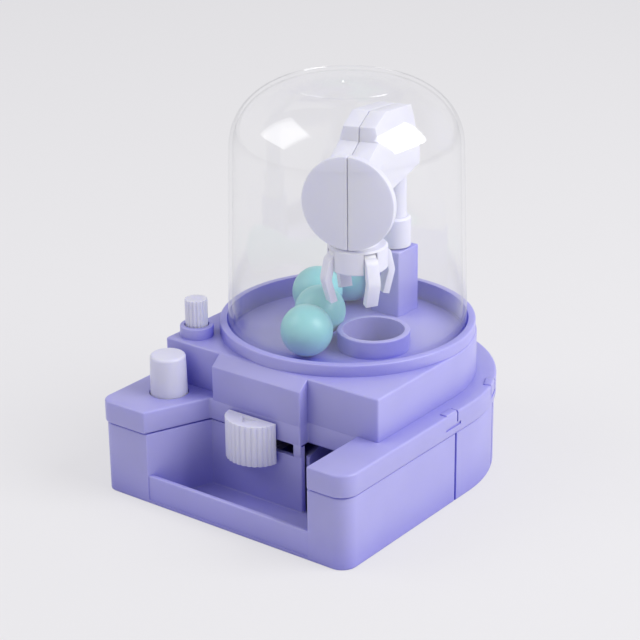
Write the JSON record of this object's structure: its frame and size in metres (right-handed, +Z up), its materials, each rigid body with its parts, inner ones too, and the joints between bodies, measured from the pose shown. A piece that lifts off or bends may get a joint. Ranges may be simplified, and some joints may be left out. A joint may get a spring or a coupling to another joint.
{
  "type": "claw crane machine",
  "caption": "Desk-top claw crane toy with a clear dome, a swinging crane, a four-finger claw, a ball chute and an open prize tray.",
  "frame": {"origin": "on the ground under the dome's axis, on the flat underside", "axes": "+Z up along the dome's axis, -Y towards the player, +X to the player's right"},
  "size_m": [0.114, 0.1356, 0.15],
  "materials": {
    "lilac_plastic": "semi-gloss moulded plastic",
    "white_plastic": "semi-gloss moulded plastic, lilac white",
    "aqua_plastic": "satin moulded balls",
    "grey_plastic": "natural acetal, inside only",
    "steel": "plated steel",
    "clear_plastic": "clear polystyrene"
  },
  "bodies": {
    "case": {"lower_shell": "lilac_plastic", "top_shell": "lilac_plastic", "play_deck": "lilac_plastic", "prize_ramp": "lilac_plastic", "gear_plate": "grey_plastic", "case_screw_1": "steel", "case_screw_2": "steel", "case_screw_3": "steel", "case_screw_4": "steel", "ball_1": "aqua_plastic", "ball_2": "aqua_plastic", "ball_3": "aqua_plastic", "ball_4": "aqua_plastic", "beam_pin": "steel", "sector_pin": "steel", "button_spring": "steel"},
    "dome": {"dome": "clear_plastic"},
    "slider": {"slider_knob": "white_plastic", "slider_plate": "grey_plastic"},
    "swing_sector": {"swing_sector": "grey_plastic"},
    "swing_pinion": {"swing_pinion": "grey_plastic"},
    "lift_knob": {"lift_knob": "white_plastic", "lift_pinion": "grey_plastic"},
    "idler_1": {"idler_gear_1": "grey_plastic"},
    "idler_2": {"idler_gear_2": "grey_plastic"},
    "lift_nut": {"lift_nut": "grey_plastic"},
    "lift_carrier": {"lift_carrier": "grey_plastic"},
    "crane": {"crane_column": "white_plastic", "arm_left": "white_plastic", "arm_right": "white_plastic", "arm_screw_1": "steel", "arm_screw_2": "steel", "claw_holder": "white_plastic", "lever_pin": "steel", "finger_pin_1": "steel", "finger_pin_2": "steel", "finger_pin_3": "steel", "finger_pin_4": "steel"},
    "claw_button": {"claw_button": "white_plastic"},
    "button_beam": {"button_beam": "grey_plastic"},
    "push_rod": {"push_rod": "steel"},
    "claw_lever": {"claw_lever": "grey_plastic"},
    "claw_plunger": {"claw_plunger": "grey_plastic"},
    "claw_finger_1": {"claw_finger_1": "white_plastic"},
    "claw_finger_2": {"claw_finger_2": "white_plastic"},
    "claw_finger_3": {"claw_finger_3": "white_plastic"},
    "claw_finger_4": {"claw_finger_4": "white_plastic"}
  },
  "joints": [
    {"name": "dome_lift", "type": "slide", "parent": "case", "child": "dome", "axis": [0, 0, 1], "range_m": [0, 0.12]},
    {"name": "slider", "type": "slide", "parent": "case", "child": "slider", "axis": [1, 0, 0], "range_m": [-0.0025, 0.014]},
    {"name": "sector_turn", "type": "hinge", "parent": "case", "child": "swing_sector", "pos_m": [-0.006, 0.006, 0.0169], "axis": [0, 0, 1], "range_deg": [-3.2, 16]},
    {"name": "swing_gear_turn", "type": "hinge", "parent": "case", "child": "swing_pinion", "pos_m": [0, 0.031, 0.0186], "axis": [0, 0, 1], "range_deg": [-40.5, 7.6]},
    {"name": "lift_knob", "type": "hinge", "parent": "case", "child": "lift_knob", "pos_m": [-0.0415, -0.0398, 0.0306], "axis": [0, 0, 1], "range_deg": [0, 301]},
    {"name": "idler_1_turn", "type": "hinge", "parent": "case", "child": "idler_1", "pos_m": [-0.03568, -0.01807, 0.0306], "axis": [0, 0, 1], "range_deg": [-110, 0]},
    {"name": "idler_2_turn", "type": "hinge", "parent": "case", "child": "idler_2", "pos_m": [-0.02465, 0.01304, 0.0306], "axis": [0, 0, 1], "range_deg": [0, 110]},
    {"name": "lift_nut_turn", "type": "hinge", "parent": "case", "child": "lift_nut", "pos_m": [0, 0.031, 0.0306], "axis": [0, 0, 1], "range_deg": [-129.5, 0]},
    {"name": "crane_lift", "type": "slide", "parent": "case", "child": "lift_carrier", "axis": [0, 0, 1], "range_m": [0, 0.006]},
    {"name": "crane_swing", "type": "hinge", "parent": "lift_carrier", "child": "crane", "pos_m": [0, 0.031, 0.06], "axis": [0, 0, 1], "range_deg": [-40.5, 7.6]},
    {"name": "claw_button", "type": "slide", "parent": "case", "child": "claw_button", "axis": [0, 0, -1], "range_m": [0, 0.004], "stiffness_N_per_m": 100, "springref_m": -0.004, "deforming": ["button_spring"]},
    {"name": "beam_rock", "type": "hinge", "parent": "case", "child": "button_beam", "pos_m": [-0.0202, -0.01355, 0.00765], "axis": [0.9108, -0.413, 0], "range_deg": [0, 5]},
    {"name": "push_rod_slide", "type": "slide", "parent": "crane", "child": "push_rod", "axis": [0, 0, 1], "range_m": [0, 0.0041]},
    {"name": "claw_lever_rock", "type": "hinge", "parent": "crane", "child": "claw_lever", "pos_m": [0.01026, -0.00257, 0.1223], "axis": [0.9563, 0.2924, 0], "range_deg": [0, 6.8]},
    {"name": "plunger_slide", "type": "slide", "parent": "crane", "child": "claw_plunger", "axis": [0, 0, -1], "range_m": [0, 0.0011]},
    {"name": "finger_1", "type": "hinge", "parent": "crane", "child": "claw_finger_1", "pos_m": [0.02078, -0.01521, 0.0906], "axis": [-0.4695, -0.8829, 0], "range_deg": [0, 15.5]},
    {"name": "finger_2", "type": "hinge", "parent": "crane", "child": "claw_finger_2", "pos_m": [0.01706, -0.00303, 0.0906], "axis": [0.8829, -0.4695, 0], "range_deg": [0, 15.5]},
    {"name": "finger_3", "type": "hinge", "parent": "crane", "child": "claw_finger_3", "pos_m": [0.00489, -0.00676, 0.0906], "axis": [0.4695, 0.8829, 0], "range_deg": [0, 15.5]},
    {"name": "finger_4", "type": "hinge", "parent": "crane", "child": "claw_finger_4", "pos_m": [0.00861, -0.01893, 0.0906], "axis": [-0.8829, 0.4695, 0], "range_deg": [0, 15.5]}
  ],
  "couplings": [
    {"joint": "sector_turn", "follows": "slider", "rad_per_m": 19.231},
    {"joint": "swing_gear_turn", "follows": "slider", "rad_per_m": -49.451},
    {"joint": "crane_swing", "follows": "slider", "rad_per_m": -49.451},
    {"joint": "lift_knob", "follows": "crane_lift", "rad_per_m": 872.66},
    {"joint": "idler_1_turn", "follows": "crane_lift", "rad_per_m": -317.33},
    {"joint": "idler_2_turn", "follows": "crane_lift", "rad_per_m": 317.33},
    {"joint": "lift_nut_turn", "follows": "crane_lift", "rad_per_m": -374},
    {"joint": "beam_rock", "follows": "claw_button", "rad_per_m": 20.443},
    {"joint": "push_rod_slide", "follows": "claw_button", "ratio": 1},
    {"joint": "claw_lever_rock", "follows": "claw_button", "rad_per_m": 28.49},
    {"joint": "plunger_slide", "follows": "claw_button", "ratio": 0.25071},
    {"joint": "finger_1", "follows": "claw_button", "rad_per_m": 65.45},
    {"joint": "finger_2", "follows": "claw_button", "rad_per_m": 65.45},
    {"joint": "finger_3", "follows": "claw_button", "rad_per_m": 65.45},
    {"joint": "finger_4", "follows": "claw_button", "rad_per_m": 65.45}
  ]
}
